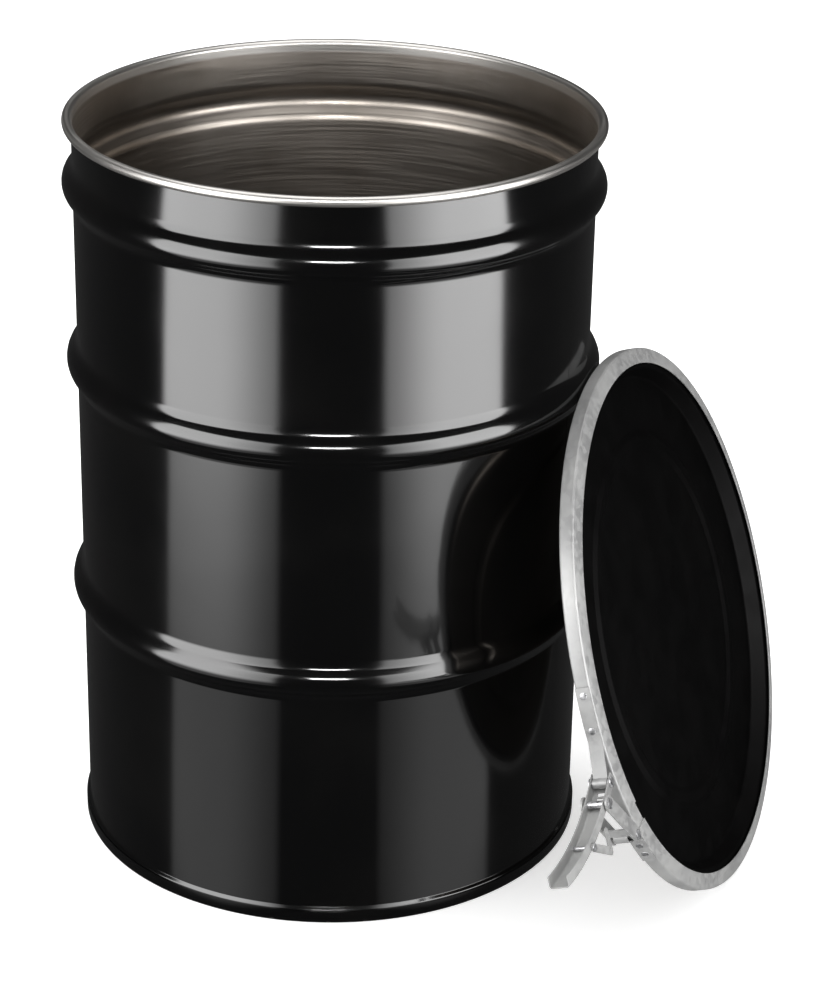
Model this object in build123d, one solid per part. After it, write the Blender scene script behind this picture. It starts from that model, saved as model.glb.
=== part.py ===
from build123d import *
import math
import os

# Open-head steel drum, millimetres. +Z is up and the origin is the middle of the bottom chime, on the
# floor. The lid, clamped in its lever-lock ring, leans against the drum's middle rolling hoop.

# ---- drum ----
HEIGHT = 850.0
STEEL = 1.2                      # sheet thickness of shell, bottom head and lid
WALL = 286.4                     # radius of the shell's mid surface
HOOP_HEIGHTS = (300.6, 571.6, 776.2)
HOOP_HALF_BASE = 19.3            # half the base of a hoop's triangle, before its arcs round it
HOOP_PEAK = 17.4                 # its peak, which the arcs bring down to 11.9
HOOP_ARC = 16.0
RIM_CURL = 4.9                   # mid-surface radius of the top curl
SKIRT = 289.3                    # shell's mid radius inside the bottom seam
SKIRT_FOOT = 2.8
SKIRT_TOP = 15.0
HEAD_INNER = 287.95              # bottom head's two walls, either side of the skirt
HEAD_OUTER = 290.65
HEAD_LEVEL = 16.0                # bottom panel above the floor
SEAM_TOP = 14.0
BEAD_WIDTH_DEG = 1.1             # side weld
BEAD_RISE = 0.35
BEAD_AZIMUTH = -27.0

# ---- closing ring, in the lid's frame: x level, y up the slope, z out of the lid ----
RING = 308.0                     # outer radius of the band
RING_STEEL = 1.5
BAND_HALF = 8.0                  # half the band's width
LIP_INSET = 18.0                 # how far the flanges reach inwards
LIP_HALF = 11.5                  # half the width over the lips
END_UPPER = 198.2                # angle of the upper half's end at the lock
END_LOWER = 203.6                # angle of the lower half's end
FAR_POINT = 20.9                 # angle where the two halves meet, opposite the lock
FAR_GAP = 0.15                   # half the gap there, in degrees
TONGUE_GAP = 0.2
TONGUE_STEEL = 0.8

# ---- lid ----
LID_EDGE = 298.9                 # mid radius of the rim's outer skirt
LID_CROWN = 6.8
LID_PANEL = -9.0
GASKET_INNER = 288.2
GASKET_OUTER = 296.8
GASKET_BOTTOM = 2.4

# ---- lean ----
LEAN_REACH = 403.4               # lid's centre from the drum's axis
LEAN_BEARING = -16.2             # its direction from the axis
LEAN_FACING = -21.3              # the way the lid's outer face looks
LEAN_TILT = 18.3                 # and how far it looks up

# ---- lever lock ----
LEVER_PIVOT = (-324.0, -43.0)
ANCHOR_RADIUS = 324.0
ANCHOR_ANGLE = 201.2
LINK_ARM = 29.0                  # from the lever's pivot to the link's
LINK_ARM_ANGLE = 202.0
LEVER_CHORD_ANGLE = 190.0        # where the open lever points
LEVER_RADIUS = 335.0             # outer radius of the lever's curved back
LEVER_PIN_RADIUS = 327.6         # radius at which the pivot sits between back and edge
LEVER_DEPTH = 12.5
LEVER_HALF = 11.0
LEVER_SWEEP = 30.0               # degrees of arc from pivot to tip
LEVER_NOSE = 1.6                 # degrees past the pivot
LEVER_WINDOWS = ((-2.2, -1.3), (-4.2, -2.6))
WINDOW_WIDTH = 9.0
PIN = 4.0                        # hinge pin radius
ANCHOR_PIN = 3.5
RUNNING = 0.05                   # radial running clearance
STRAP_STEEL = 1.5
STRAP_HALF = 8.0
LINK_HALF = 12.6                 # inner faces of the yoke's ears
LINK_STEEL = 2.0
SLOT_REACH = (-8.6, 3.4)         # far end of the anchor's slot, from the pin at rest
SLOT_HALF = 5.2
CATCH_PIVOT = (-415.0, -70.3)
CATCH_STEEL = 1.5


def on_circle(radius, angle):
    """The point at this radius and angle, in degrees, in the plane."""
    turn = math.radians(angle)
    return (radius * math.cos(turn), radius * math.sin(turn))


def thickened(edges, thickness):
    """The face of a sheet that follows these joined edges."""
    outline = Wire(edges).offset_2d(thickness / 2, kind=Kind.ARC, side=Side.BOTH)
    return make_face(outline)


def turned(face, start=0.0, sweep=360.0):
    """The face, drawn with x as radius and y as height, turned about Z from start through sweep degrees."""
    return Rot(0, 0, start) * revolve(Plane.XZ * face, Axis.Z, sweep)


def from_axis(face):
    """The part of a section that is at positive radius."""
    return face - Pos(-50, 0) * Rectangle(100, 2000)


def plate(face, low, high):
    """A flat face raised between two levels."""
    return Pos(0, 0, low) * extrude(face, high - low)


def rod(centre, radius, low, high):
    """A round bar along z."""
    return Pos(*centre, low) * Cylinder(radius, high - low, align=(Align.CENTER, Align.CENTER, Align.MIN))


def hoop_points():
    """Corners of the three hoops' triangles, from the lowest up, and the arcs that round them."""
    points = []
    for middle in HOOP_HEIGHTS:
        foot, peak, head = middle - HOOP_HALF_BASE, middle, middle + HOOP_HALF_BASE
        points += [(WALL, foot), (WALL + HOOP_PEAK, peak), (WALL, head)]
    return points, [HOOP_ARC] * len(points)


def shell_edges():
    """Mid line of the shell, from the seam's skirt up over the hoops and round the curl."""
    hoops, arcs = hoop_points()
    skirt = [(SKIRT, SKIRT_FOOT), (SKIRT, SKIRT_TOP), (WALL, SKIRT_TOP + 6)]
    curl_level = HEIGHT - RIM_CURL - STEEL / 2
    wall = FilletPolyline(*skirt, *hoops, (WALL, curl_level), radius=[3.0, 3.0, *arcs])
    curl = CenterArc((WALL + RIM_CURL, curl_level), RIM_CURL, 180, -295)
    return wall.edges() + curl.edges()


def drum_shell():
    return turned(thickened(shell_edges(), STEEL))


def side_weld_bead():
    """A low strip up the shell's outside, between the seam and the curl, over the hoops."""
    hoops, arcs = hoop_points()
    line = FilletPolyline((WALL, 26.0), *hoops, (WALL, HEIGHT - 14), radius=arcs)
    raised = thickened(line.edges(), STEEL + 2 * BEAD_RISE)
    strip = Rot(0, 0, -BEAD_WIDTH_DEG / 2) * revolve(Plane.XZ * raised, Axis.Z, BEAD_WIDTH_DEG)
    sheet = Rot(0, 0, -2) * revolve(Plane.XZ * thickened(shell_edges(), STEEL), Axis.Z, 4)
    inside = Cylinder(WALL, 3 * HEIGHT)
    outer = (strip - sheet - inside).solids().sort_by(SortBy.VOLUME)[-1]
    return Rot(0, 0, BEAD_AZIMUTH) * outer


def bottom_head():
    """Bottom disc with one stiffening bead, folded round the shell's skirt."""
    groove = [(220, HEAD_LEVEL), (226, HEAD_LEVEL - 4), (242, HEAD_LEVEL - 4), (248, HEAD_LEVEL)]
    wrap = [(HEAD_INNER, HEAD_LEVEL), (HEAD_INNER, STEEL / 2), (HEAD_OUTER, STEEL / 2)]
    points = [(0, HEAD_LEVEL), *groove, *wrap, (HEAD_OUTER, SEAM_TOP)]
    line = FilletPolyline(*points, radius=[4, 4, 4, 4, 3, 0.7, 0.7])
    return turned(from_axis(thickened(line.edges(), STEEL)))


def seam_compound():
    floor = STEEL + 0.1
    ceiling = SKIRT_FOOT - STEEL / 2 - 0.1
    return turned(Pos(SKIRT, (floor + ceiling) / 2) * Rectangle(STEEL, ceiling - floor))


def lid():
    """Cover with a beaded panel sunk below its rim channel."""
    raised = LID_PANEL + 3
    points = [(0, LID_PANEL), (192, LID_PANEL), (199, raised), (209, raised), (216, LID_PANEL)]
    points += [(277, LID_PANEL), (285.8, LID_CROWN), (LID_EDGE, LID_CROWN), (LID_EDGE, -2.5)]
    line = FilletPolyline(*points, radius=[4, 4, 4, 4, 5, 2.5, 3.0])
    return turned(from_axis(thickened(line.edges(), STEEL)))


def lid_gasket():
    width = GASKET_OUTER - GASKET_INNER
    depth = LID_CROWN - STEEL / 2 - GASKET_BOTTOM
    section = Pos(GASKET_INNER + width / 2, GASKET_BOTTOM + depth / 2) * RectangleRounded(width, depth, 1.6)
    return turned(section)


def band_section(radius, half, inset, lip_half, thickness):
    """Channel section, open to the inside, given by its outer faces."""
    mid = thickness / 2
    points = [(radius - inset, lip_half - mid), (radius - mid, half - mid)]
    points += [(radius - mid, mid - half), (radius - inset, mid - lip_half)]
    return thickened(FilletPolyline(*points, radius=2.0).edges(), thickness)


def rivet_hole(angle, reach=6.0):
    """Cutter for a rivet's shank through the band at this angle."""
    return Rot(0, 0, angle) * Pos(RING, 0, 0) * Rot(0, 90, 0) * Cylinder(2.5, 2 * reach)


def rivet(angle, inner):
    """Flush-backed rivet with a low flat head on the strap."""
    seat = RING + STRAP_STEEL
    shank = [(0, inner), (2.5, inner), (2.5, seat)]
    head = [(4.0, seat), (4.0, seat + 0.3), (3.4, seat + 0.6), (0, seat + 0.6)]
    outline = Polyline(*shank, *head, close=True)
    return Rot(0, 0, angle) * Rot(0, 90, 0) * turned(make_face(outline))


STRAP_RIVETS = (170.8, 178.1)
ANCHOR_RIVETS = (208.0, 211.0)


def ring_half(start, sweep, rivets):
    section = band_section(RING, BAND_HALF, LIP_INSET, LIP_HALF, RING_STEEL)
    half = turned(section, start, sweep)
    for angle in rivets:
        half -= rivet_hole(angle)
    return half


def upper_ring_half():
    start = FAR_POINT + FAR_GAP
    return ring_half(start, END_UPPER - start, STRAP_RIVETS)


def lower_ring_half():
    return ring_half(END_LOWER, 360 + FAR_POINT - FAR_GAP - END_LOWER, ANCHOR_RIVETS)


def bridge_tongue():
    """Inner channel fixed in the lower half and sliding in the upper one."""
    step = RING_STEEL + TONGUE_GAP
    slope = (LIP_HALF - BAND_HALF) / LIP_INSET
    half = BAND_HALF + slope * step - step * math.hypot(1, slope)
    reach = LIP_INSET - step - 0.6
    section = band_section(RING - RING_STEEL, half, reach, half + slope * reach, TONGUE_STEEL)
    free = band_section(RING - step, half, reach, half + slope * reach, TONGUE_STEEL)
    fixed_end = turned(section, END_LOWER, 214 - END_LOWER)
    sliding_end = turned(free, 190, END_LOWER + 0.6 - 190)
    tongue = fixed_end + sliding_end
    for angle in ANCHOR_RIVETS:
        tongue -= rivet_hole(angle)
    return tongue


def strap(first, last, eye, rivets):
    """Strip riveted on the band from first to last, leaving it at last in a straight run to a hinge eye."""
    mid = RING + STRAP_STEEL / 2
    seat = CenterArc((0, 0), mid, first, last - first)
    leave = on_circle(mid, last)
    arc = thickened(seat.edges(), STRAP_STEEL)
    run = thickened(Line(leave, eye).edges(), STRAP_STEEL)
    body = plate(arc, -STRAP_HALF, STRAP_HALF) + plate(run, -STRAP_HALF, STRAP_HALF)
    for angle in rivets:
        body -= rivet_hole(angle)
    return body - turned(Pos(RING / 2, 0) * Rectangle(RING, 40))


def hinge_strap():
    body = strap(169.3, 180.5, LEVER_PIVOT, STRAP_RIVETS)
    body += rod(LEVER_PIVOT, PIN + STRAP_STEEL, -STRAP_HALF, STRAP_HALF)
    return body - rod(LEVER_PIVOT, PIN, -20, 20)


def anchor_point():
    return on_circle(ANCHOR_RADIUS, ANCHOR_ANGLE)


def anchor_bracket():
    """Strap whose eye is a slot, so that the link's pin has room over the whole throw."""
    near = anchor_point()
    far = (near[0] + SLOT_REACH[0], near[1] + SLOT_REACH[1])
    body = strap(213.5, 206.4, near, ANCHOR_RIVETS)
    slot_line = Line(near, far).edges()
    body += plate(thickened(slot_line, 2 * (SLOT_HALF + STRAP_STEEL)), -STRAP_HALF, STRAP_HALF)
    return body - plate(thickened(slot_line, 2 * SLOT_HALF), -20, 20)


def pin(centre, radius, grip):
    """Riveted pin: a shank between the grip's faces and a low head outside each."""
    heads = rod(centre, radius + 2, grip, grip + 1.2) + rod(centre, radius + 2, -grip - 1.2, -grip)
    return rod(centre, radius, -grip, grip) + heads


def link_pivot():
    arm = on_circle(LINK_ARM, LINK_ARM_ANGLE)
    return (LEVER_PIVOT[0] + arm[0], LEVER_PIVOT[1] + arm[1])


def lever_place():
    """Takes the lever from the frame of its own curve, pivot on +x, to where it stands open."""
    chord = math.atan2(
        -LEVER_RADIUS * math.sin(math.radians(LEVER_SWEEP)),
        LEVER_RADIUS * math.cos(math.radians(LEVER_SWEEP)) - LEVER_PIN_RADIUS,
    )
    turn = LEVER_CHORD_ANGLE - math.degrees(chord)
    return Pos(*LEVER_PIVOT) * Rot(0, 0, turn) * Pos(-LEVER_PIN_RADIUS, 0)


def lever_section():
    half = LEVER_HALF - STRAP_STEEL / 2
    edge = LEVER_RADIUS - LEVER_DEPTH
    back = LEVER_RADIUS - STRAP_STEEL / 2
    line = FilletPolyline((edge, -half), (back, -half), (back, half), (edge, half), radius=2.5)
    return thickened(line.edges(), STRAP_STEEL)


def lock_lever():
    """Curved channel, open on the side that closes onto the ring, with two windows in its back."""
    body = turned(lever_section(), -LEVER_SWEEP, LEVER_SWEEP + LEVER_NOSE)
    for first, last in LEVER_WINDOWS:
        window = Pos(LEVER_RADIUS, 0) * Rectangle(6, WINDOW_WIDTH)
        body -= turned(window, first, last - first)
    body = lever_place() * body
    body -= rod(LEVER_PIVOT, PIN + RUNNING, -20, 20)
    body -= rod(link_pivot(), PIN + RUNNING, -20, 20)
    return body - rod(CATCH_PIVOT, 2.5, -20, 20)


def link_ear():
    """Rounded bar from the link's pivot on the lever to the anchor pin."""
    run = Line(link_pivot(), anchor_point()).edges()
    return thickened(run, 18)


def lock_link():
    """Yoke: two ears outside the lever, joined across their outer edges."""
    ear = link_ear()
    outer = LINK_HALF + LINK_STEEL
    body = plate(ear, LINK_HALF, outer) + plate(ear, -outer, -LINK_HALF)
    start = link_pivot()
    end = anchor_point()
    along = math.degrees(math.atan2(end[1] - start[1], end[0] - start[0]))
    body += Pos(*start) * Rot(0, 0, along) * Pos(55, -8.25, 0) * Box(16, STRAP_STEEL, 2 * outer)
    body -= rod(start, PIN, -20, 20)
    return body - rod(end, ANCHOR_PIN, -20, 20)


def safety_catch():
    """Flat hook beside the lever, with a hole for a seal in its corner."""
    x, y = CATCH_PIVOT
    line = Polyline((x, y), (x + 40, y - 26), (x + 41, y - 4))
    hook = thickened(line.edges(), 9)
    body = plate(hook, LEVER_HALF + 0.4, LEVER_HALF + 0.4 + CATCH_STEEL)
    body -= rod(CATCH_PIVOT, 2.5 + RUNNING, -20, 20)
    return body - rod((x + 38.5, y - 23), 1.8, -20, 20)


def catch_pin():
    outer = LEVER_HALF + 0.4 + CATCH_STEEL + 0.3
    body = rod(CATCH_PIVOT, 2.5, -LEVER_HALF, outer) + rod(CATCH_PIVOT, 4.2, outer, outer + 1.0)
    return body + rod(CATCH_PIVOT, 4.2, -LEVER_HALF - 1.0, -LEVER_HALF)


def lid_frame():
    """Where the leaning lid's frame lies: its lowest point touches the floor."""
    tilt = math.radians(LEAN_TILT)
    facing = math.radians(LEAN_FACING)
    level = RING * math.cos(tilt) + BAND_HALF * math.sin(tilt)
    east, north = on_circle(LEAN_REACH, LEAN_BEARING)
    out = (math.cos(tilt) * math.cos(facing), math.cos(tilt) * math.sin(facing), math.sin(tilt))
    return Plane(origin=(east, north, level), x_dir=(-math.sin(facing), math.cos(facing), 0), z_dir=out)


def main():
    inner = RING - RING_STEEL
    upright = {
        "drum_shell": drum_shell(),
        "side_weld_bead": side_weld_bead(),
        "bottom_head": bottom_head(),
        "seam_compound": seam_compound(),
    }
    leaning = {
        "lid": lid(),
        "lid_gasket": lid_gasket(),
        "upper_ring_half": upper_ring_half(),
        "hinge_strap": hinge_strap(),
        "strap_rivets": Compound([rivet(angle, inner) for angle in STRAP_RIVETS]),
        "lever_pin": pin(LEVER_PIVOT, PIN, LEVER_HALF + 0.2),
        "lower_ring_half": lower_ring_half(),
        "bridge_tongue": bridge_tongue(),
        "anchor_bracket": anchor_bracket(),
        "anchor_rivets": Compound([rivet(angle, inner - TONGUE_STEEL) for angle in ANCHOR_RIVETS]),
        "lock_lever": lock_lever(),
        "link_pin": pin(link_pivot(), PIN, LINK_HALF + LINK_STEEL),
        "lock_link": lock_link(),
        "anchor_pin": pin(anchor_point(), ANCHOR_PIN, LINK_HALF + LINK_STEEL),
        "safety_catch": safety_catch(),
        "catch_pin": catch_pin(),
    }
    place = lid_frame().location
    os.makedirs("parts", exist_ok=True)
    for name, piece in upright.items():
        export_step(piece, f"parts/{name}.step")
    for name, piece in leaning.items():
        export_step(piece.moved(place), f"parts/{name}.step")


main()
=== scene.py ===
"""Looks of an open-head steel drum whose lid leans against it, clamped in its lever-lock ring.

Metres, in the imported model's frame: Z up, the origin in the middle of the bottom chime, on the floor.
"""

import logging
import math
from collections.abc import Sequence
from dataclasses import dataclass, field
from enum import Enum
from itertools import pairwise

import bmesh
import bpy
from mathutils import Matrix, Vector


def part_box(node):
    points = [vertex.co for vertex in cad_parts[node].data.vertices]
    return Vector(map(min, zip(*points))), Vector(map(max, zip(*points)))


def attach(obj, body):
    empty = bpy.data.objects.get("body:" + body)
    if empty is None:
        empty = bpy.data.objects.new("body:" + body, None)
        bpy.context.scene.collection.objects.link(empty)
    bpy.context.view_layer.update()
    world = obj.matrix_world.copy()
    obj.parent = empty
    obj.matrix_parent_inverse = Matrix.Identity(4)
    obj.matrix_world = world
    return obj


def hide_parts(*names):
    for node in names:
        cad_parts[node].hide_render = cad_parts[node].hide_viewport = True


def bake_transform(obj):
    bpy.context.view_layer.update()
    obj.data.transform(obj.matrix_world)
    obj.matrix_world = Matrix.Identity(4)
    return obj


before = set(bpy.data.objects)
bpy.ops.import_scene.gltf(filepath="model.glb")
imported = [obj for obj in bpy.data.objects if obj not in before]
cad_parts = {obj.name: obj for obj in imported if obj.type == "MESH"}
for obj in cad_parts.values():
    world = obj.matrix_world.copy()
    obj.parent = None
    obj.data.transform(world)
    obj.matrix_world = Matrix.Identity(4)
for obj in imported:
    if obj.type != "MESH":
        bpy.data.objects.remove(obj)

LOG = logging.getLogger("drum")
MM = 0.001
SHARP_ANGLE = 40.0  # degrees; edges that turn more than this keep a crease
CLOSED_TURN = 360.0
MIX_FIRST, MIX_SECOND, MIX_RESULT = 6, 7, 2  # color sockets of a mix node

Point2 = tuple[float, float]
Point3 = tuple[float, float, float]
Color = tuple[float, float, float]


class Facing(Enum):
    """Which way the outer side of a spun sheet looks."""

    FROM_AXIS = "from_axis"
    UP = "up"
    DOWN = "down"


# ---------------------------------------------------------------- mesh making


def new_wire(bm: bmesh.types.BMesh, corners: list[Point2], radii: Sequence[float], steps: int) -> None:
    """Draws a wire in the XZ plane and rounds its inner corners.

    Args:
        bm: Mesh that takes the wire.
        corners: Corners as radius and height, in millimetres.
        radii: Bend radius of each corner but the first and last, in millimetres.
        steps: Segments in each bend.
    """
    verts = [bm.verts.new((x * MM, 0, z * MM)) for x, z in corners]
    for first, last in pairwise(verts):
        bm.edges.new((first, last))
    turns = []
    for before, here, after in zip(corners, corners[1:], corners[2:]):
        lead = Vector(here) - Vector(before)
        trail = Vector(after) - Vector(here)
        turns.append(lead.angle(trail))
    for vert, radius, turn in zip(verts[1:-1], radii, turns):
        round_corner(bm, vert, radius * math.tan(turn / 2), steps)


def new_section(bm: bmesh.types.BMesh, corners: list[Point2], radii: Sequence[float], steps: int) -> None:
    """Draws a closed section in the XZ plane and rounds its corners.

    Args:
        bm: Mesh that takes the section.
        corners: Corners as radius and height, in millimetres.
        radii: Corner radius of each, in millimetres.
        steps: Segments in each rounded corner.
    """
    verts = [bm.verts.new((x * MM, 0, z * MM)) for x, z in corners]
    bm.faces.new(verts)
    turns = []
    for index, here in enumerate(corners):
        lead = Vector(here) - Vector(corners[index - 1])
        trail = Vector(corners[(index + 1) % len(corners)]) - Vector(here)
        turns.append(lead.angle(trail))
    for vert, radius, turn in zip(verts, radii, turns):
        if radius:
            round_corner(bm, vert, radius * math.tan(turn / 2), steps)


def round_corner(bm: bmesh.types.BMesh, vert: bmesh.types.BMVert, offset: float, steps: int) -> None:
    """Rounds one corner, taking offset millimetres off each side of it."""
    bmesh.ops.bevel(
        bm,
        geom=[vert],
        offset=offset * MM,
        offset_type="OFFSET",
        segments=steps,
        profile=0.5,
        affect="VERTICES",
        material=-1,
    )


def turn_round(bm: bmesh.types.BMesh, start: float, sweep: float, steps: int) -> None:
    """Spins everything in the mesh about Z.

    Args:
        bm: Mesh with a wire or a section in the XZ plane.
        start: Angle at which the turn starts, in degrees.
        sweep: Angle turned through, in degrees; 360 closes on itself.
        steps: Segments in the turn.
    """
    closed = sweep >= CLOSED_TURN
    if closed and bm.faces:
        bmesh.ops.delete(bm, geom=bm.faces[:], context="FACES_ONLY")
    geom = bm.verts[:] + bm.edges[:] + bm.faces[:]
    bmesh.ops.rotate(bm, verts=bm.verts[:], cent=(0, 0, 0), matrix=Matrix.Rotation(math.radians(start), 3, "Z"))
    bmesh.ops.spin(
        bm,
        geom=geom,
        cent=(0, 0, 0),
        axis=(0, 0, 1),
        angle=math.radians(sweep),
        steps=steps,
        use_merge=closed,
    )
    bmesh.ops.remove_doubles(bm, verts=bm.verts[:], dist=1e-6)
    bmesh.ops.recalc_face_normals(bm, faces=bm.faces[:])


def face_outwards(bm: bmesh.types.BMesh, facing: Facing) -> None:
    """Turns an open sheet's faces over if they look the wrong way."""
    total = 0.0
    for face in bm.faces:
        if facing is Facing.FROM_AXIS:
            centre = face.calc_center_median()
            total += face.calc_area() * face.normal.dot(Vector((centre.x, centre.y, 0)))
        else:
            total += face.calc_area() * face.normal.z
    if (total < 0) != (facing is Facing.DOWN):
        bmesh.ops.reverse_faces(bm, faces=bm.faces[:])


def finished(bm: bmesh.types.BMesh, name: str, place: Matrix, sharp: float = SHARP_ANGLE) -> bpy.types.Object:
    """Makes an object of a mesh.

    Args:
        bm: The mesh, in its own frame.
        name: Name of the piece.
        place: Where its frame stands.
        sharp: Edges sharper than this many degrees keep a crease.

    Returns:
        The object, at the origin.
    """
    bmesh.ops.transform(bm, matrix=place, space=Matrix.Identity(4), verts=bm.verts[:])
    mesh = bpy.data.meshes.new(name)
    bm.to_mesh(mesh)
    bm.free()
    mesh.shade_smooth()
    mesh.set_sharp_from_angle(angle=math.radians(sharp))
    piece = bpy.data.objects.new(name, mesh)
    bpy.context.scene.collection.objects.link(piece)
    return piece


def give_thickness(piece: bpy.types.Object, thickness: float, inner_slot: int = 0, rim_slot: int = 0) -> None:
    """Thickens a sheet about its middle.

    Args:
        piece: Object with the sheet's middle surface.
        thickness: Thickness in millimetres.
        inner_slot: Material slot of the inner side.
        rim_slot: Material slot of the cut edges.
    """
    wall = piece.modifiers.new("sheet", "SOLIDIFY")
    wall.thickness = thickness * MM
    wall.offset = 0.0
    wall.use_even_offset = True
    wall.material_offset = inner_slot
    wall.material_offset_rim = rim_slot
    thick = bpy.data.meshes.new_from_object(piece.evaluated_get(bpy.context.evaluated_depsgraph_get()))
    piece.modifiers.clear()
    piece.data = thick
    thick.set_sharp_from_angle(angle=math.radians(SHARP_ANGLE))


# ---------------------------------------------------------------- finishes


@dataclass(frozen=True)
class Grain:
    """A noise: its scale per metre and its detail."""

    scale: float
    detail: float


class Nodes:
    """A new material's node tree, with its shader and its object coordinates."""

    def __init__(self, name: str) -> None:
        """Starts the tree with one shader and the object's own coordinates."""
        self.material = bpy.data.materials.new(name)
        self.material.use_nodes = True
        self.tree = self.material.node_tree
        self.shader = self.tree.nodes["Principled BSDF"]
        self.place = self.tree.nodes.new("ShaderNodeTexCoord").outputs["Object"]

    def stretched(self, scale: Point3) -> bpy.types.NodeSocket:
        """Object coordinates, scaled separately along each axis."""
        mapping = self.tree.nodes.new("ShaderNodeMapping")
        mapping.inputs["Scale"].default_value = scale
        self.tree.links.new(self.place, mapping.inputs["Vector"])
        return mapping.outputs["Vector"]

    def noise(self, grain: Grain, source: bpy.types.NodeSocket | None = None) -> bpy.types.NodeSocket:
        """Noise of this grain, on the object's coordinates or on source."""
        node = self.tree.nodes.new("ShaderNodeTexNoise")
        node.inputs["Scale"].default_value = grain.scale
        node.inputs["Detail"].default_value = grain.detail
        self.tree.links.new(source or self.place, node.inputs["Vector"])
        return node.outputs["Fac"]

    def cells(self, scale: float) -> bpy.types.NodeSocket:
        """A random grey in each cell of a pattern of this scale per metre."""
        node = self.tree.nodes.new("ShaderNodeTexVoronoi")
        node.inputs["Scale"].default_value = scale
        self.tree.links.new(self.place, node.inputs["Vector"])
        bare = self.tree.nodes.new("ShaderNodeSeparateColor")
        self.tree.links.new(node.outputs["Color"], bare.inputs["Color"])
        return bare.outputs["Red"]

    def height(self) -> bpy.types.NodeSocket:
        """Height above the floor."""
        node = self.tree.nodes.new("ShaderNodeSeparateXYZ")
        self.tree.links.new(self.place, node.inputs["Vector"])
        return node.outputs["Z"]

    def ranged(self, source, low: float, high: float, to_low: float = 0.0, to_high: float = 1.0):
        """Source carried from one range smoothly onto another."""
        node = self.tree.nodes.new("ShaderNodeMapRange")
        node.interpolation_type = "SMOOTHSTEP"
        for name, value in (("From Min", low), ("From Max", high), ("To Min", to_low), ("To Max", to_high)):
            node.inputs[name].default_value = value
        self.tree.links.new(source, node.inputs["Value"])
        return node.outputs["Result"]

    def times(self, first, second):
        """Product of two values, each a socket or a number."""
        return self.arithmetic("MULTIPLY", first, second)

    def arithmetic(self, operation: str, first, second):
        """One arithmetic step on two values, each a socket or a number."""
        node = self.tree.nodes.new("ShaderNodeMath")
        node.operation = operation
        for socket, value in zip(node.inputs, (first, second)):
            if isinstance(value, (int, float)):
                socket.default_value = value
            else:
                self.tree.links.new(value, socket)
        return node.outputs["Value"]

    def blend(self, share, first, second):
        """Color mixed from first to second by share, each color a socket or numbers."""
        node = self.tree.nodes.new("ShaderNodeMix")
        node.data_type = "RGBA"
        self.tree.links.new(share, node.inputs["Factor"])
        for socket, value in ((node.inputs[MIX_FIRST], first), (node.inputs[MIX_SECOND], second)):
            if isinstance(value, tuple):
                socket.default_value = (*value, 1.0)
            else:
                self.tree.links.new(value, socket)
        return node.outputs[MIX_RESULT]

    def bump(self, source, depth: float, strength: float = 1.0, over=None):
        """Relief of this depth in millimetres, laid over another relief if there is one."""
        node = self.tree.nodes.new("ShaderNodeBump")
        node.inputs["Strength"].default_value = strength
        node.inputs["Distance"].default_value = depth * MM
        self.tree.links.new(source, node.inputs["Height"])
        if over is not None:
            self.tree.links.new(over, node.inputs["Normal"])
        return node.outputs["Normal"]

    def feed(self, **sockets) -> None:
        """Links sockets to the shader's inputs, named with underscores for spaces."""
        for name, source in sockets.items():
            self.tree.links.new(source, self.shader.inputs[name.replace("_", " ")])

    def fix(self, **values) -> None:
        """Sets the shader's constant inputs, named with underscores for spaces."""
        for name, value in values.items():
            self.shader.inputs[name.replace("_", " ")].default_value = value


@dataclass(frozen=True)
class GlossBlackPaint:
    """Baked gloss black enamel on rolled sheet, chipped along the chime that stands on the floor."""

    name: str = "black_paint"
    deep: Color = (0.0014, 0.0014, 0.0015)
    dusty: Color = (0.0024, 0.0023, 0.0022)
    dusty_where: Point2 = (0.45, 0.72)
    chip: Color = (0.12, 0.115, 0.11)
    chip_where: Point2 = (0.60, 0.66)
    chipped_below: float = 0.003
    roughness: Point2 = (0.11, 0.15)
    rough_where: Point2 = (0.3, 0.7)
    film: Grain = Grain(7.0, 5.0)
    flakes: Grain = Grain(150.0, 4.0)
    pores: Grain = Grain(520.0, 2.0)
    pore_depth: float = 0.010
    ripple: Grain = Grain(4.5, 2.0)
    ripple_depth: float = 0.9

    def build(self) -> bpy.types.Material:
        """Makes the material."""
        nodes = Nodes(self.name)
        film = nodes.noise(self.film)
        paint = nodes.blend(nodes.ranged(film, *self.dusty_where), self.deep, self.dusty)
        worn = nodes.ranged(nodes.height(), self.chipped_below, 0.0)
        flakes = nodes.ranged(nodes.noise(self.flakes), *self.chip_where)
        share = nodes.times(worn, flakes)
        rough = nodes.ranged(film, *self.rough_where, *self.roughness)
        relief = nodes.bump(nodes.noise(self.pores), self.pore_depth)
        relief = nodes.bump(nodes.noise(self.ripple), self.ripple_depth, over=relief)
        nodes.feed(Base_Color=nodes.blend(share, paint, self.chip), Roughness=rough, Normal=relief)
        nodes.fix(Metallic=0.0, IOR=1.52, Coat_Weight=0.35, Coat_Roughness=0.06)
        return nodes.material


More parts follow.
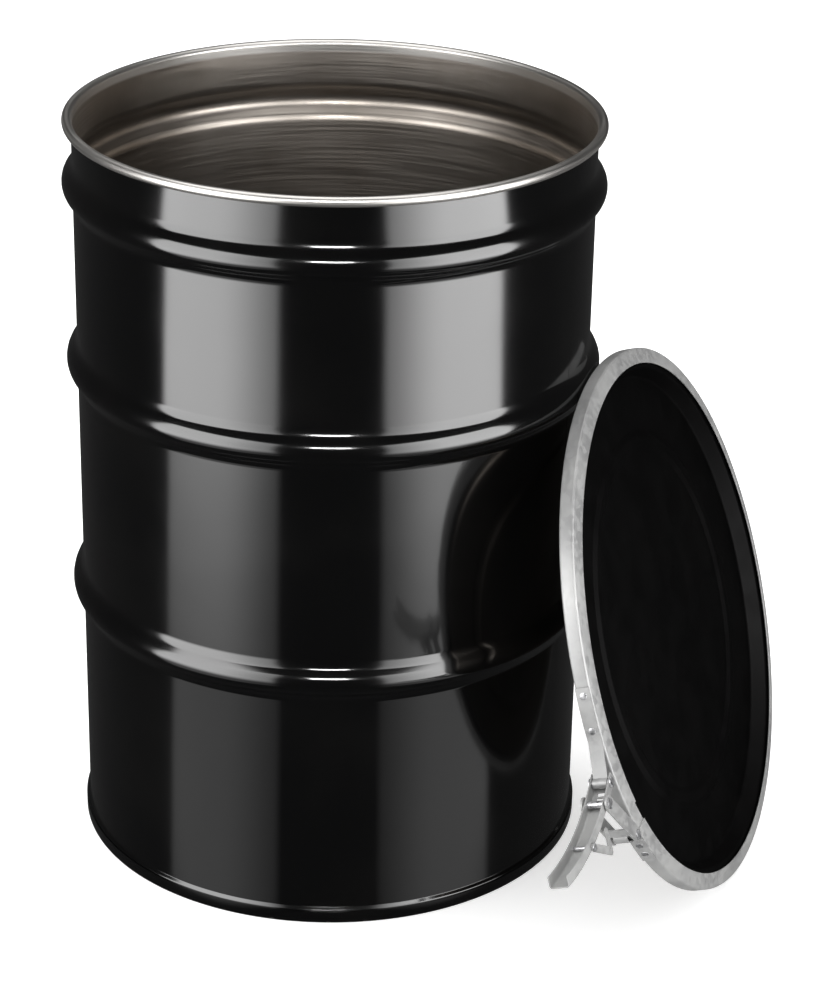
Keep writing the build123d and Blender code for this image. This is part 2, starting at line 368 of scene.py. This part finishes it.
@dataclass(frozen=True)
class LidPaint:
    """Thin black paint on the lid, duller than the drum's and rubbed a little here and there."""

    name: str = "lid_paint"
    deep: Color = (0.0016, 0.0014, 0.0015)
    rubbed: Color = (0.0026, 0.0023, 0.0023)
    rubbed_where: Point2 = (0.45, 0.75)
    roughness: Point2 = (0.46, 0.56)
    rough_where: Point2 = (0.3, 0.7)
    film: Grain = Grain(9.0, 4.0)
    dulling: Grain = Grain(30.0, 4.0)
    pores: Grain = Grain(600.0, 2.0)
    pore_depth: float = 0.012

    def build(self) -> bpy.types.Material:
        """Makes the material."""
        nodes = Nodes(self.name)
        film = nodes.noise(self.film)
        color = nodes.blend(nodes.ranged(film, *self.rubbed_where), self.deep, self.rubbed)
        rough = nodes.ranged(nodes.noise(self.dulling), *self.rough_where, *self.roughness)
        relief = nodes.bump(nodes.noise(self.pores), self.pore_depth)
        nodes.feed(Base_Color=color, Roughness=rough, Normal=relief)
        nodes.fix(Metallic=0.0, IOR=1.45, Specular_IOR_Level=0.06)
        return nodes.material


@dataclass(frozen=True)
class BareSteel:
    """Unpainted cold-rolled sheet with a film of oil: fine rolling lines, warm clouds, brighter on the curl."""

    name: str = "bare_steel"
    dark: Color = (0.19, 0.165, 0.14)
    light: Color = (0.33, 0.30, 0.27)
    light_where: Point2 = (0.3, 0.7)
    line_where: Point2 = (0.35, 0.75)
    line_share: float = 0.12
    curl: Color = (0.47, 0.455, 0.435)
    curl_from: float = 0.835
    curl_fade: float = 0.004
    roughness: Point2 = (0.30, 0.44)
    clouds: Grain = Grain(5.5, 5.0)
    lines: Grain = Grain(1.0, 4.0)
    line_stretch: Point3 = (9.0, 9.0, 900.0)
    line_depth: float = 0.005
    pores: Grain = Grain(240.0, 3.0)
    pore_depth: float = 0.010

    def build(self) -> bpy.types.Material:
        """Makes the material."""
        nodes = Nodes(self.name)
        lines = nodes.noise(self.lines, nodes.stretched(self.line_stretch))
        clouds = nodes.noise(self.clouds)
        sheet = nodes.blend(nodes.ranged(clouds, *self.light_where), self.dark, self.light)
        sheet = nodes.blend(nodes.ranged(lines, *self.line_where, 0.0, self.line_share), sheet, self.light)
        on_curl = nodes.ranged(nodes.height(), self.curl_from, self.curl_from + self.curl_fade)
        color = nodes.blend(on_curl, sheet, self.curl)
        rough = nodes.ranged(lines, *self.light_where, *self.roughness)
        relief = nodes.bump(lines, self.line_depth)
        relief = nodes.bump(nodes.noise(self.pores), self.pore_depth, over=relief)
        nodes.feed(Base_Color=color, Roughness=rough, Normal=relief)
        nodes.fix(Metallic=1.0)
        return nodes.material


@dataclass(frozen=True)
class GalvanisedSteel:
    """Zinc-coated strip: soft grey spangle under a dull, cloudy bloom."""

    name: str = "galvanised_steel"
    dark: Color = (0.29, 0.29, 0.29)
    light: Color = (0.385, 0.385, 0.38)
    light_where: Point2 = (0.35, 0.7)
    spangle_scale: float = 170.0
    spangle_share: float = 0.35
    roughness: Point2 = (0.36, 0.52)
    rough_where: Point2 = (0.4, 1.4)
    bloom: Grain = Grain(14.0, 5.0)
    pores: Grain = Grain(420.0, 3.0)
    pore_depth: float = 0.014
    metallic: float = 0.25

    def build(self) -> bpy.types.Material:
        """Makes the material."""
        nodes = Nodes(self.name)
        spangle = nodes.cells(self.spangle_scale)
        bloom = nodes.noise(self.bloom)
        color = nodes.blend(nodes.ranged(bloom, *self.light_where), self.dark, self.light)
        color = nodes.blend(nodes.ranged(spangle, 0.0, 1.0, 0.0, self.spangle_share), color, self.light)
        rough = nodes.ranged(nodes.arithmetic("ADD", spangle, bloom), *self.rough_where, *self.roughness)
        relief = nodes.bump(nodes.noise(self.pores), self.pore_depth)
        nodes.feed(Base_Color=color, Roughness=rough, Normal=relief)
        nodes.fix(Metallic=self.metallic)
        return nodes.material


@dataclass(frozen=True)
class ZincPlate:
    """Plated pins and rivets, darker in the marks of their handling."""

    name: str = "zinc_pin"
    dark: Color = (0.36, 0.36, 0.37)
    light: Color = (0.60, 0.60, 0.61)
    light_where: Point2 = (0.35, 0.7)
    roughness: Point2 = (0.26, 0.46)
    rough_where: Point2 = (0.3, 0.7)
    marks: Grain = Grain(260.0, 5.0)
    mark_depth: float = 0.02
    metallic: float = 0.8

    def build(self) -> bpy.types.Material:
        """Makes the material."""
        nodes = Nodes(self.name)
        marks = nodes.noise(self.marks)
        color = nodes.blend(nodes.ranged(marks, *self.light_where), self.dark, self.light)
        nodes.feed(Base_Color=color, Roughness=nodes.ranged(marks, *self.rough_where, *self.roughness))
        nodes.feed(Normal=nodes.bump(marks, self.mark_depth))
        nodes.fix(Metallic=self.metallic)
        return nodes.material


@dataclass(frozen=True)
class SoftCompound:
    """Rubber or sealing compound: dull, finely pitted and cloudy."""

    name: str
    dark: Color
    light: Color
    roughness: float
    light_where: Point2 = (0.3, 0.7)
    clouds: Grain = Grain(40.0, 4.0)
    pits: Grain = Grain(700.0, 4.0)
    pit_depth: float = 0.05

    def build(self) -> bpy.types.Material:
        """Makes the material."""
        nodes = Nodes(self.name)
        pits = nodes.noise(self.pits)
        clouds = nodes.noise(self.clouds)
        color = nodes.blend(nodes.ranged(clouds, *self.light_where), self.dark, self.light)
        nodes.feed(Base_Color=color, Normal=nodes.bump(pits, self.pit_depth))
        nodes.fix(Metallic=0.0, Roughness=self.roughness)
        return nodes.material


@dataclass(frozen=True)
class Finishes:
    """Every finish on the drum, made once."""

    black: bpy.types.Material
    lid: bpy.types.Material
    bare: bpy.types.Material
    galvanised: bpy.types.Material
    zinc: bpy.types.Material
    rubber: bpy.types.Material
    sealant: bpy.types.Material

    @classmethod
    def make(cls) -> "Finishes":
        """Builds all the materials."""
        rubber = SoftCompound("gasket_rubber", (0.010, 0.010, 0.010), (0.022, 0.021, 0.020), 0.8)
        sealant = SoftCompound("seam_sealant", (0.06, 0.05, 0.04), (0.13, 0.11, 0.085), 0.6)
        return cls(
            black=GlossBlackPaint().build(),
            lid=LidPaint().build(),
            bare=BareSteel().build(),
            galvanised=GalvanisedSteel().build(),
            zinc=ZincPlate().build(),
            rubber=rubber.build(),
            sealant=sealant.build(),
        )


# ---------------------------------------------------------------- the drum


@dataclass
class Drum:
    """The open drum: a hooped and curled shell, its side weld and its seamed bottom. Sizes in millimetres."""

    finishes: Finishes
    height: float = 850.0
    sheet: float = 1.2
    wall: float = 286.4
    hoops: tuple[float, ...] = (300.6, 571.6, 776.2)
    hoop_half_base: float = 19.3
    hoop_peak: float = 17.4
    hoop_bend: float = 16.0
    curl: float = 4.9
    curl_turn: float = 295.0
    curl_steps: int = 22
    skirt: float = 289.3
    skirt_foot: float = 2.8
    skirt_top: float = 15.0
    flare_rise: float = 3.0
    skirt_bend: float = 1.5
    head_inner: float = 287.95
    head_outer: float = 290.65
    head_level: float = 16.0
    head_groove: tuple[Point2, ...] = ((220, 0), (226, -4), (242, -4), (248, 0))
    head_bends: tuple[float, ...] = (4, 4, 4, 4, 3, 0.7, 0.7)
    seam_top: float = 14.0
    weld_azimuth: float = -27.0
    weld_width: float = 1.1
    weld_rise: float = 0.15
    weld_foot: float = 26.0
    weld_head: float = 836.0
    weld_steps: int = 4
    compound_gap: float = 0.1
    compound_bend: float = 0.3
    compound_bend_steps: int = 3
    compound_segments: int = 144
    segments: int = 288
    bend_steps: int = 7

    def build(self) -> list[bpy.types.Object]:
        """Builds the drum's pieces.

        Returns:
            The pieces.
        """
        return [self.shell(), self.side_weld(), self.bottom(), self.compound()]

    def hoop_corners(self, outward: float = 0.0) -> list[Point2]:
        """Corners of the three hoops, from the lowest up, moved outward from the sheet's middle."""
        corners = []
        near = self.wall + outward
        for middle in self.hoops:
            foot, head = middle - self.hoop_half_base, middle + self.hoop_half_base
            corners += [(near, foot), (near + self.hoop_peak, middle), (near, head)]
        return corners

    def shell(self) -> bpy.types.Object:
        """Makes the shell, black outside and bare inside and over the curl."""
        bm = bmesh.new()
        hoops = self.hoop_corners()
        curl_level = self.height - self.curl - self.sheet / 2
        flare_top = (self.wall, self.skirt_top + self.flare_rise)
        skirt = [(self.skirt, self.skirt_foot), (self.skirt, self.skirt_top), flare_top]
        radii = [self.skirt_bend] * 2 + [self.hoop_bend] * len(hoops)
        new_wire(bm, skirt + hoops + [(self.wall, curl_level)], radii, self.bend_steps)
        top = max(bm.verts, key=lambda vert: vert.co.z)
        centre = ((self.wall + self.curl) * MM, 0, curl_level * MM)
        turn = math.radians(self.curl_turn)
        bmesh.ops.spin(bm, geom=[top], cent=centre, axis=(0, 1, 0), angle=turn, steps=self.curl_steps)
        turn_round(bm, 0, CLOSED_TURN, self.segments)
        face_outwards(bm, Facing.FROM_AXIS)
        shell = finished(bm, "shell", Matrix.Identity(4))
        shell.data.materials.append(self.finishes.black)
        shell.data.materials.append(self.finishes.bare)
        give_thickness(shell, self.sheet, inner_slot=1, rim_slot=1)
        self.register(shell, "drum_shell")
        return shell

    def side_weld(self) -> bpy.types.Object:
        """Makes the low ridge of the side weld, up the outside and over the hoops."""
        bm = bmesh.new()
        thickness = self.sheet / 2 + self.weld_rise
        near = self.wall + thickness / 2
        hoops = self.hoop_corners(thickness / 2)
        corners = [(near, self.weld_foot), *hoops, (near, self.weld_head)]
        new_wire(bm, corners, [self.hoop_bend] * len(hoops), self.bend_steps)
        turn_round(bm, self.weld_azimuth - self.weld_width / 2, self.weld_width, self.weld_steps)
        face_outwards(bm, Facing.FROM_AXIS)
        weld = finished(bm, "side_weld", Matrix.Identity(4))
        weld.data.materials.append(self.finishes.black)
        give_thickness(weld, thickness)
        self.register(weld, "side_weld_bead")
        return weld

    def bottom(self) -> bpy.types.Object:
        """Makes the bottom head, folded round the shell's skirt in the chime."""
        bm = bmesh.new()
        level, half = self.head_level, self.sheet / 2
        groove = [(x, level + z) for x, z in self.head_groove]
        wrap = [(self.head_inner, level), (self.head_inner, half), (self.head_outer, half)]
        corners = [(0, level), *groove, *wrap, (self.head_outer, self.seam_top)]
        new_wire(bm, corners, self.head_bends, self.bend_steps)
        turn_round(bm, 0, CLOSED_TURN, self.segments)
        face_outwards(bm, Facing.DOWN)
        bottom = finished(bm, "bottom", Matrix.Identity(4))
        bottom.data.materials.append(self.finishes.black)
        bottom.data.materials.append(self.finishes.bare)
        give_thickness(bottom, self.sheet, inner_slot=1)
        self.register(bottom, "bottom_head")
        return bottom

    def compound(self) -> bpy.types.Object:
        """Makes the ring of sealing compound inside the chime's fold."""
        bm = bmesh.new()
        half = self.sheet / 2
        low, high = self.sheet + self.compound_gap, self.skirt_foot - half - self.compound_gap
        near, far = self.skirt - half, self.skirt + half
        corners = [(near, low), (far, low), (far, high), (near, high)]
        new_section(bm, corners, [self.compound_bend] * len(corners), self.compound_bend_steps)
        turn_round(bm, 0, CLOSED_TURN, self.compound_segments)
        compound = finished(bm, "compound", Matrix.Identity(4))
        compound.data.materials.append(self.finishes.sealant)
        self.register(compound, "seam_compound")
        return compound

    def register(self, piece: bpy.types.Object, node: str) -> None:
        """Hangs a piece on the drum's body and hides the CAD part it stands for."""
        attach(piece, "drum")
        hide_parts(node)


# ---------------------------------------------------------------- lid and ring


@dataclass
class Lean:
    """Where the leaning lid's own frame stands: x level, y up its slope, z out of its face."""

    facing: float = -21.3
    tilt: float = 18.3
    gasket_middle: float = 4.3

    def place(self) -> Matrix:
        """Works the frame out from the tilt and from the gasket, which is centred on the lid's axis."""
        tilt, facing = math.radians(self.tilt), math.radians(self.facing)
        out = Vector((math.cos(tilt) * math.cos(facing), math.cos(tilt) * math.sin(facing), math.sin(tilt)))
        level = Vector((-math.sin(facing), math.cos(facing), 0))
        slope = out.cross(level)
        low, high = (Vector(corner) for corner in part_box("lid_gasket"))
        centre = (low + high) / 2 - out * self.gasket_middle * MM
        turn = Matrix((level, slope, out)).transposed().to_4x4()
        return Matrix.Translation(centre) @ turn


@dataclass
class Cover:
    """The lid and the gasket under its crown. Sizes in millimetres, in the lid's own frame."""

    finishes: Finishes
    place: Matrix
    sheet: float = 1.2
    edge: float = 298.9
    crown: float = 6.8
    panel: float = -9.0
    bead: tuple[Point2, ...] = ((192, 0), (199, 3), (209, 3), (216, 0))
    wall_foot: float = 277.0
    wall_head: float = 285.8
    skirt_foot: float = -2.5
    bends: tuple[float, ...] = (4, 4, 4, 4, 5, 2.5, 3.0)
    bend_steps: int = 6
    gasket_inner: float = 288.2
    gasket_outer: float = 296.8
    gasket_bottom: float = 2.4
    gasket_bends: tuple[float, ...] = (1.6, 1.6, 0.4, 0.4)
    gasket_bend_steps: int = 4
    gasket_segments: int = 180
    segments: int = 240

    def build(self) -> list[bpy.types.Object]:
        """Builds the lid and its gasket."""
        return [self.lid(), self.gasket()]

    def lid(self) -> bpy.types.Object:
        """Makes the lid: a sunk panel with a raised bead, a channel wall, a crown and a skirt."""
        bm = bmesh.new()
        panel = self.panel
        bead = [(x, panel + z) for x, z in self.bead]
        wall = [(self.wall_foot, panel), (self.wall_head, self.crown)]
        rim = [(self.edge, self.crown), (self.edge, self.skirt_foot)]
        new_wire(bm, [(0, panel), *bead, *wall, *rim], self.bends, self.bend_steps)
        turn_round(bm, 0, CLOSED_TURN, self.segments)
        face_outwards(bm, Facing.UP)
        lid = finished(bm, "lid_sheet", self.place)
        lid.data.materials.append(self.finishes.lid)
        lid.data.materials.append(self.finishes.bare)
        give_thickness(lid, self.sheet, inner_slot=1)
        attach(lid, "cover")
        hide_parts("lid")
        return lid

    def gasket(self) -> bpy.types.Object:
        """Makes the rubber gasket."""
        bm = bmesh.new()
        top = self.crown - self.sheet / 2
        near, far, low = self.gasket_inner, self.gasket_outer, self.gasket_bottom
        corners = [(near, low), (far, low), (far, top), (near, top)]
        new_section(bm, corners, self.gasket_bends, self.gasket_bend_steps)
        turn_round(bm, 0, CLOSED_TURN, self.gasket_segments)
        gasket = finished(bm, "gasket", self.place)
        gasket.data.materials.append(self.finishes.rubber)
        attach(gasket, "cover")
        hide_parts("lid_gasket")
        return gasket


@dataclass
class ClosingRing:
    """The split channel ring round the lid. Sizes in millimetres, in the lid's own frame."""

    finishes: Finishes
    place: Matrix
    radius: float = 308.0
    steel: float = 1.5
    band_half: float = 8.0
    lip_half: float = 11.5
    lip_inset: float = 18.0
    first_end: float = 203.6
    last_end: float = 558.2
    far_point: float = 20.9
    bend_reach: float = 12.0
    lip_bend: float = 0.5
    outer_bend: float = 2.75
    inner_bend: float = 1.25
    bend_steps: int = 5
    segments: int = 250

    def build(self) -> list[bpy.types.Object]:
        """Builds the ring.

        Returns:
            The ring, in one piece.
        """
        bm = bmesh.new()
        t, r = self.steel, self.radius
        outer = [(r - self.lip_inset, self.lip_half), (r, self.band_half)]
        inner = [(r - t, self.band_half - t), (r - self.lip_inset, self.lip_half - t)]
        outline = [*outer, *self.flipped(outer), *self.flipped(inner), *inner]
        lip, outside, inside = self.lip_bend, self.outer_bend, self.inner_bend
        bends = [lip, outside, outside, lip, lip, inside, inside, lip]
        new_section(bm, outline, bends, self.bend_steps)
        turn_round(bm, self.first_end, self.last_end - self.first_end, self.segments)
        ring = finished(bm, "closing_ring", self.place)
        ring.data.materials.append(self.finishes.galvanised)
        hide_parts("upper_ring_half", "lower_ring_half")
        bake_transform(ring)
        return [ring]

    def flipped(self, corners: list[Point2]) -> list[Point2]:
        """The same corners on the ring's other side, in turn."""
        return [(x, -z) for x, z in reversed(corners)]


@dataclass
class LockPart:
    """One part of the lock: the CAD solid with its edges broken."""

    node: str
    body: str
    slot: str
    material: bpy.types.Material
    edge: float = 0.25
    joined_within: float = 2e-6
    thinnest: float = 1e-6
    flat_within: float = 1.0
    sharp: float = 35.0

    def build(self) -> bpy.types.Object:
        """Copies the solid, joins its loose triangles and rounds its edges.

        Returns:
            The part.
        """
        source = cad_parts[self.node].data
        bm = bmesh.new()
        bm.from_mesh(source)
        bmesh.ops.remove_doubles(bm, verts=bm.verts[:], dist=self.joined_within)
        bmesh.ops.dissolve_degenerate(bm, edges=bm.edges[:], dist=self.thinnest)
        flat = math.radians(self.flat_within)
        bmesh.ops.dissolve_limit(bm, angle_limit=flat, verts=bm.verts[:], edges=bm.edges[:], delimit=set())
        part = finished(bm, f"{self.node}_part", Matrix.Identity(4), sharp=self.sharp)
        part.data.materials.clear()
        part.data.materials.append(self.material)
        rounding = part.modifiers.new("edges", "BEVEL")
        rounding.width = self.edge * MM
        rounding.segments = 2
        rounding.limit_method = "ANGLE"
        rounding.angle_limit = math.radians(SHARP_ANGLE)
        rounding.harden_normals = True
        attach(part, self.body)
        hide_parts(self.node)
        return part


@dataclass
class LeverLock:
    """The lever, link, catch, straps, pins and rivets of the lock."""

    finishes: Finishes
    pin_edge: float = 0.2
    strip: dict[str, str] = field(
        default_factory=lambda: {
            "hinge_strap": "ring_upper",
            "bridge_tongue": "ring_lower",
            "anchor_bracket": "ring_lower",
            "lock_lever": "lever",
            "lock_link": "link",
            "safety_catch": "catch",
        }
    )
    pins: dict[str, str] = field(
        default_factory=lambda: {
            "strap_rivets": "ring_upper",
            "lever_pin": "ring_upper",
            "anchor_rivets": "ring_lower",
            "catch_pin": "lever",
            "link_pin": "link",
            "anchor_pin": "link",
        }
    )

    def build(self) -> list[bpy.types.Object]:
        """Builds every part of the lock."""
        strip, zinc = self.finishes.galvanised, self.finishes.zinc
        parts = [LockPart(node, body, "galvanised_steel", strip) for node, body in self.strip.items()]
        parts += [LockPart(node, body, "zinc_pin", zinc, self.pin_edge) for node, body in self.pins.items()]
        return [part.build() for part in parts]


# ---------------------------------------------------------------- studio


class DimSide(Enum):
    """The side of a panel, seen from the drum, towards which its light fades."""

    TOWARDS_RIGHT = 1.0
    TOWARDS_LEFT = -1.0


@dataclass(frozen=True)
class SoftPanel:
    """An upright glowing panel, dim towards one side and towards its foot. Metres and degrees."""

    name: str
    bearing: float
    distance: float
    width: float
    low: float
    high: float
    strength: float
    dim_side: DimSide = DimSide.TOWARDS_RIGHT
    dim_level: float = 1.0
    foot_level: float = 1.0
    foot_from: float = -0.45
    foot_to: float = 0.25
    foot_power: float = 1.25
    fade_across: float = 0.17
    fade_up: float = 0.16

    def build(self) -> bpy.types.Object:
        """Makes the panel, looking at the drum; bearing 0 is the camera's side and positive is its right."""
        bm = bmesh.new()
        bmesh.ops.create_grid(bm, x_segments=1, y_segments=1, size=1.0)
        mesh = bpy.data.meshes.new(self.name)
        bm.to_mesh(mesh)
        bm.free()
        panel = bpy.data.objects.new(self.name, mesh)
        bpy.context.scene.collection.objects.link(panel)
        turn = math.radians(self.bearing)
        middle = (self.low + self.high) / 2
        panel.location = (math.sin(turn) * self.distance, -math.cos(turn) * self.distance, middle)
        panel.rotation_euler = (math.pi / 2, 0, turn)
        panel.scale = (self.width / 2, (self.high - self.low) / 2, 1)
        panel.visible_camera = False
        panel.visible_diffuse = False
        panel.visible_shadow = False
        panel.visible_transmission = False
        mesh.materials.append(self.glow())
        return panel

    def share_up(self, height: float) -> float:
        """Where a height lies on the panel, from -1 at its foot to 1 at its top."""
        return 2 * (height - self.low) / (self.high - self.low) - 1

    def glow(self) -> bpy.types.Material:
        """Light that fades smoothly at the panel's edges, to its dim side and to its foot."""
        nodes = Nodes(f"{self.name}_glow")
        split = nodes.tree.nodes.new("ShaderNodeSeparateXYZ")
        nodes.tree.links.new(nodes.place, split.inputs["Vector"])
        across, upward = split.outputs["X"], split.outputs["Y"]
        edge = nodes.ranged(nodes.arithmetic("ABSOLUTE", across, 0.0), 1.0, 1.0 - self.fade_across)
        ends = nodes.ranged(nodes.arithmetic("ABSOLUTE", upward, 0.0), 1.0, 1.0 - self.fade_up)
        side = self.dim_side.value
        dimmed = nodes.ranged(across, side, 0.0, self.dim_level, 1.0)
        rise = nodes.ranged(upward, self.share_up(self.foot_from), self.share_up(self.foot_to))
        rise = nodes.arithmetic("POWER", rise, self.foot_power)
        foot = nodes.arithmetic("ADD", nodes.times(rise, 1.0 - self.foot_level), self.foot_level)
        share = nodes.times(nodes.times(edge, ends), nodes.times(dimmed, foot))
        nodes.feed(Emission_Strength=nodes.times(share, self.strength))
        nodes.fix(Base_Color=(0, 0, 0, 1), Roughness=1.0, Specular_IOR_Level=0.0, Emission_Color=(1, 1, 1, 1))
        return nodes.material


@dataclass
class Studio:
    """Pale floor, soft panels and the camera. Metres and degrees."""

    floor_half: float = 7.0
    floor_color: Color = (0.93, 0.93, 0.93)
    floor_glow: float = 0.5
    camera_back: float = 3.083
    camera_height: float = 1.783
    camera_yaw: float = 1.687
    camera_pitch: float = -24.352
    camera_roll: float = 1.147
    lens: float = 105.75
    panels: tuple[SoftPanel, ...] = (
        SoftPanel(
            name="panel_left",
            bearing=-47.5,
            distance=1.6,
            width=1.66,
            low=-0.95,
            high=1.85,
            strength=6.6,
            dim_side=DimSide.TOWARDS_RIGHT,
            dim_level=0.40,
            foot_level=0.105,
        ),
        SoftPanel(
            name="panel_right",
            bearing=46.5,
            distance=1.6,
            width=1.72,
            low=-0.95,
            high=1.85,
            strength=7.6,
            dim_side=DimSide.TOWARDS_LEFT,
            dim_level=0.34,
            foot_level=0.092,
        ),
        SoftPanel(name="panel_front", bearing=-1.0, distance=2.3, width=0.7, low=1.6, high=1.9, strength=64.0),
    )
    ambient: float = 1.0
    mirrored: float = 0.038
    overhead_power: float = 62.0
    overhead_size: Point2 = (3.0, 2.4)
    overhead_place: Point3 = (-0.3, 0.3, 3.2)

    def build(self) -> list[bpy.types.Object]:
        """Builds the floor, panels, overhead light, surroundings and camera."""
        staged = [self.floor(), *(panel.build() for panel in self.panels), self.overhead()]
        self.surroundings()
        return [*staged, self.camera()]

    def floor(self) -> bpy.types.Object:
        """Lays the floor, which the drum's gloss doesn't mirror."""
        bm = bmesh.new()
        bmesh.ops.create_grid(bm, x_segments=1, y_segments=1, size=self.floor_half)
        mesh = bpy.data.meshes.new("studio_floor")
        bm.to_mesh(mesh)
        bm.free()
        floor = bpy.data.objects.new("studio_floor", mesh)
        bpy.context.scene.collection.objects.link(floor)
        nodes = Nodes("studio_floor")
        nodes.fix(Base_Color=(*self.floor_color, 1.0), Roughness=1.0, Specular_IOR_Level=0.0)
        nodes.fix(Emission_Color=(*self.floor_color, 1.0), Emission_Strength=self.floor_glow)
        mesh.materials.append(nodes.material)
        floor.visible_glossy = False
        floor.visible_shadow = False
        return floor

    def overhead(self) -> bpy.types.Object:
        """Hangs the wide light over the drum."""
        lamp = bpy.data.lights.new("overhead", "AREA")
        lamp.shape = "RECTANGLE"
        lamp.size, lamp.size_y = self.overhead_size
        lamp.energy = self.overhead_power
        light = bpy.data.objects.new("overhead", lamp)
        light.location = self.overhead_place
        bpy.context.scene.collection.objects.link(light)
        return light

    def surroundings(self) -> None:
        """Lights shadows softly all round and keeps the gloss dark where no panel is."""
        world = bpy.data.worlds.new("studio")
        world.use_nodes = True
        tree = world.node_tree
        path = tree.nodes.new("ShaderNodeLightPath")
        mix = tree.nodes.new("ShaderNodeMix")
        mix.data_type = "RGBA"
        tree.links.new(path.outputs["Is Glossy Ray"], mix.inputs["Factor"])
        mix.inputs[MIX_FIRST].default_value = (*[self.ambient] * 3, 1)
        mix.inputs[MIX_SECOND].default_value = (*[self.mirrored] * 3, 1)
        tree.links.new(mix.outputs[MIX_RESULT], tree.nodes["Background"].inputs["Color"])
        bpy.context.scene.world = world
        bpy.context.scene.view_settings.view_transform = "Standard"

    def camera(self) -> bpy.types.Object:
        """Sets the camera."""
        yaw, pitch, roll = (math.radians(a) for a in (self.camera_yaw, self.camera_pitch, self.camera_roll))
        forward = Vector((math.sin(yaw) * math.cos(pitch), math.cos(yaw) * math.cos(pitch), math.sin(pitch)))
        side = forward.cross(Vector((0, 0, 1))).normalized()
        above = side.cross(forward)
        right = side * math.cos(roll) + above * math.sin(roll)
        up = above * math.cos(roll) - side * math.sin(roll)
        data = bpy.data.cameras.new("camera")
        data.lens = self.lens
        camera = bpy.data.objects.new("camera", data)
        turn = Matrix((right, up, -forward)).transposed().to_4x4()
        camera.matrix_world = Matrix.Translation((0, -self.camera_back, self.camera_height)) @ turn
        bpy.context.scene.collection.objects.link(camera)
        bpy.context.scene.camera = camera
        return camera


def main() -> None:
    """Builds everything in order and logs each piece."""
    logging.basicConfig(level=logging.INFO, format="%(name)s: %(message)s")
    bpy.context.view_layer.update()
    finishes = Finishes.make()
    place = Lean().place()
    assemblies = (
        Drum(finishes),
        Cover(finishes, place),
        ClosingRing(finishes, place),
        LeverLock(finishes),
        Studio(),
    )
    for assembly in assemblies:
        for piece in assembly.build():
            LOG.info("%s: %s", type(assembly).__name__, piece.name)


if __name__ == "__main__":
    main()
